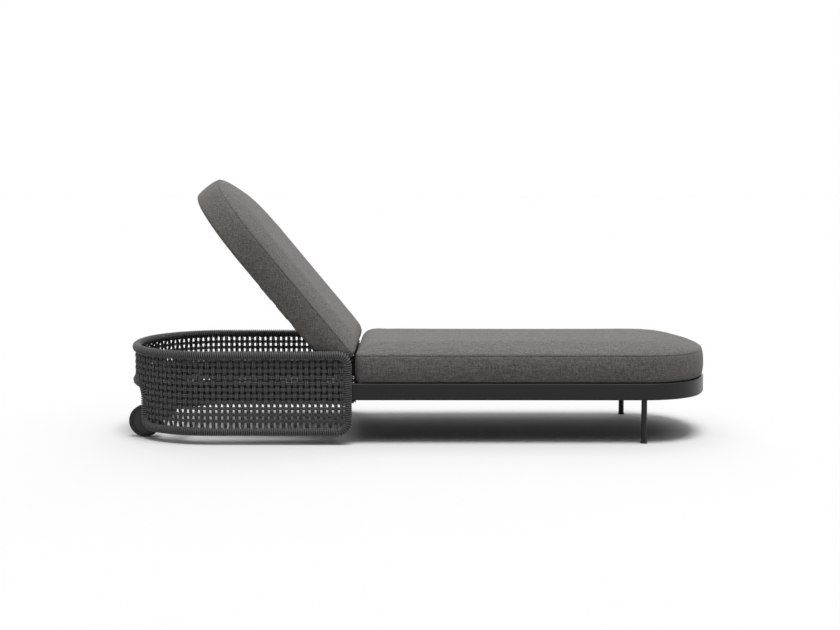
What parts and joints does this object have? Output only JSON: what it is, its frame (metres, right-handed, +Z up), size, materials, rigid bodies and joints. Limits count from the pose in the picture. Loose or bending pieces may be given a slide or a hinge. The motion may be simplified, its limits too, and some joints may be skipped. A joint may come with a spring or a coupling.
{
  "type": "sun lounger",
  "caption": "Sun lounger with a slim tube frame, thin foot legs, rope-woven head basket on wheels, thick grey cushions and a reclining back.",
  "frame": {"origin": "on the floor, below the middle of the overall length and width", "axes": "+X towards the foot end, +Y to the left of a person lying on it, +Z up"},
  "size_m": [2.0658, 0.763, 0.9053],
  "materials": {
    "frame_metal": "fine-textured charcoal powder coat",
    "rope_binding": "charcoal outdoor rope, wound",
    "rope_weave": "charcoal outdoor rope, woven",
    "cushion_fabric": "warm grey melange weave",
    "tyre_rubber": "matt black rubber",
    "wheel_nylon": "matt black nylon",
    "steel": "stainless steel, satin",
    "rubber_pad": "matt black rubber"
  },
  "bodies": {
    "base": {"axle_cap_left": "wheel_nylon", "axle_cap_right": "wheel_nylon", "back_rest_bar": "frame_metal", "basket_spacers": "rubber_pad", "binding_arch": "rope_binding", "binding_bottom_left": "rope_binding", "binding_bottom_right": "rope_binding", "binding_front_left": "rope_binding", "binding_front_right": "rope_binding", "binding_top": "rope_binding", "foot_bow": "frame_metal", "head_bow": "frame_metal", "hinge_bracket_left": "frame_metal", "hinge_bracket_right": "frame_metal", "hinge_cross_bar": "frame_metal", "leg_glide_left": "tyre_rubber", "leg_glide_right": "tyre_rubber", "leg_left": "frame_metal", "leg_right": "frame_metal", "ratchet_housing_left": "steel", "ratchet_housing_right": "steel", "rim_tube_arch": "frame_metal", "rim_tube_bottom_left": "frame_metal", "rim_tube_bottom_right": "frame_metal", "rim_tube_front_left": "frame_metal", "rim_tube_front_right": "frame_metal", "rim_tube_top": "frame_metal", "seat_cross_bar_foot": "frame_metal", "seat_cross_bar_head": "frame_metal", "seat_cross_bar_mid": "frame_metal", "seat_cushion": "cushion_fabric", "seat_slats": "frame_metal", "seat_stringer_left": "frame_metal", "seat_stringer_right": "frame_metal", "side_rail_left": "frame_metal", "side_rail_right": "frame_metal", "weave_courses": "rope_weave", "weave_uprights": "rope_weave", "wheel_axle": "steel", "wheel_bracket_left": "frame_metal", "wheel_bracket_right": "frame_metal"},
    "backrest": {"back_slats": "frame_metal", "back_stringer_left": "frame_metal", "back_stringer_right": "frame_metal", "hinge_pin_left": "steel", "hinge_pin_right": "steel"},
    "cushion": {"back_cushion": "cushion_fabric"},
    "wheel_l": {"wheel_disc_left": "wheel_nylon", "wheel_tyre_left": "tyre_rubber"},
    "wheel_r": {"wheel_disc_right": "wheel_nylon", "wheel_tyre_right": "tyre_rubber"}
  },
  "joints": [
    {"name": "back_recline", "type": "hinge", "parent": "base", "child": "backrest", "pos_m": [-0.275, 0, 0.19], "axis": [0, 1, 0], "range_deg": [-50.4, 19.6]},
    {"name": "back_cushion_slide", "type": "slide", "parent": "backrest", "child": "cushion", "axis": [-0.6374, 0, 0.7705], "range_m": [-0.12, 0.04667]},
    {"name": "wheel_left_spin", "type": "hinge", "parent": "base", "child": "wheel_l", "pos_m": [-0.964, 0.1915, 0.057], "axis": [0, 1, 0], "continuous": true},
    {"name": "wheel_right_spin", "type": "hinge", "parent": "base", "child": "wheel_r", "pos_m": [-0.964, -0.1915, 0.057], "axis": [0, 1, 0], "continuous": true}
  ],
  "couplings": [
    {"joint": "back_cushion_slide", "follows": "back_recline", "m_per_rad": 0.13642}
  ]
}
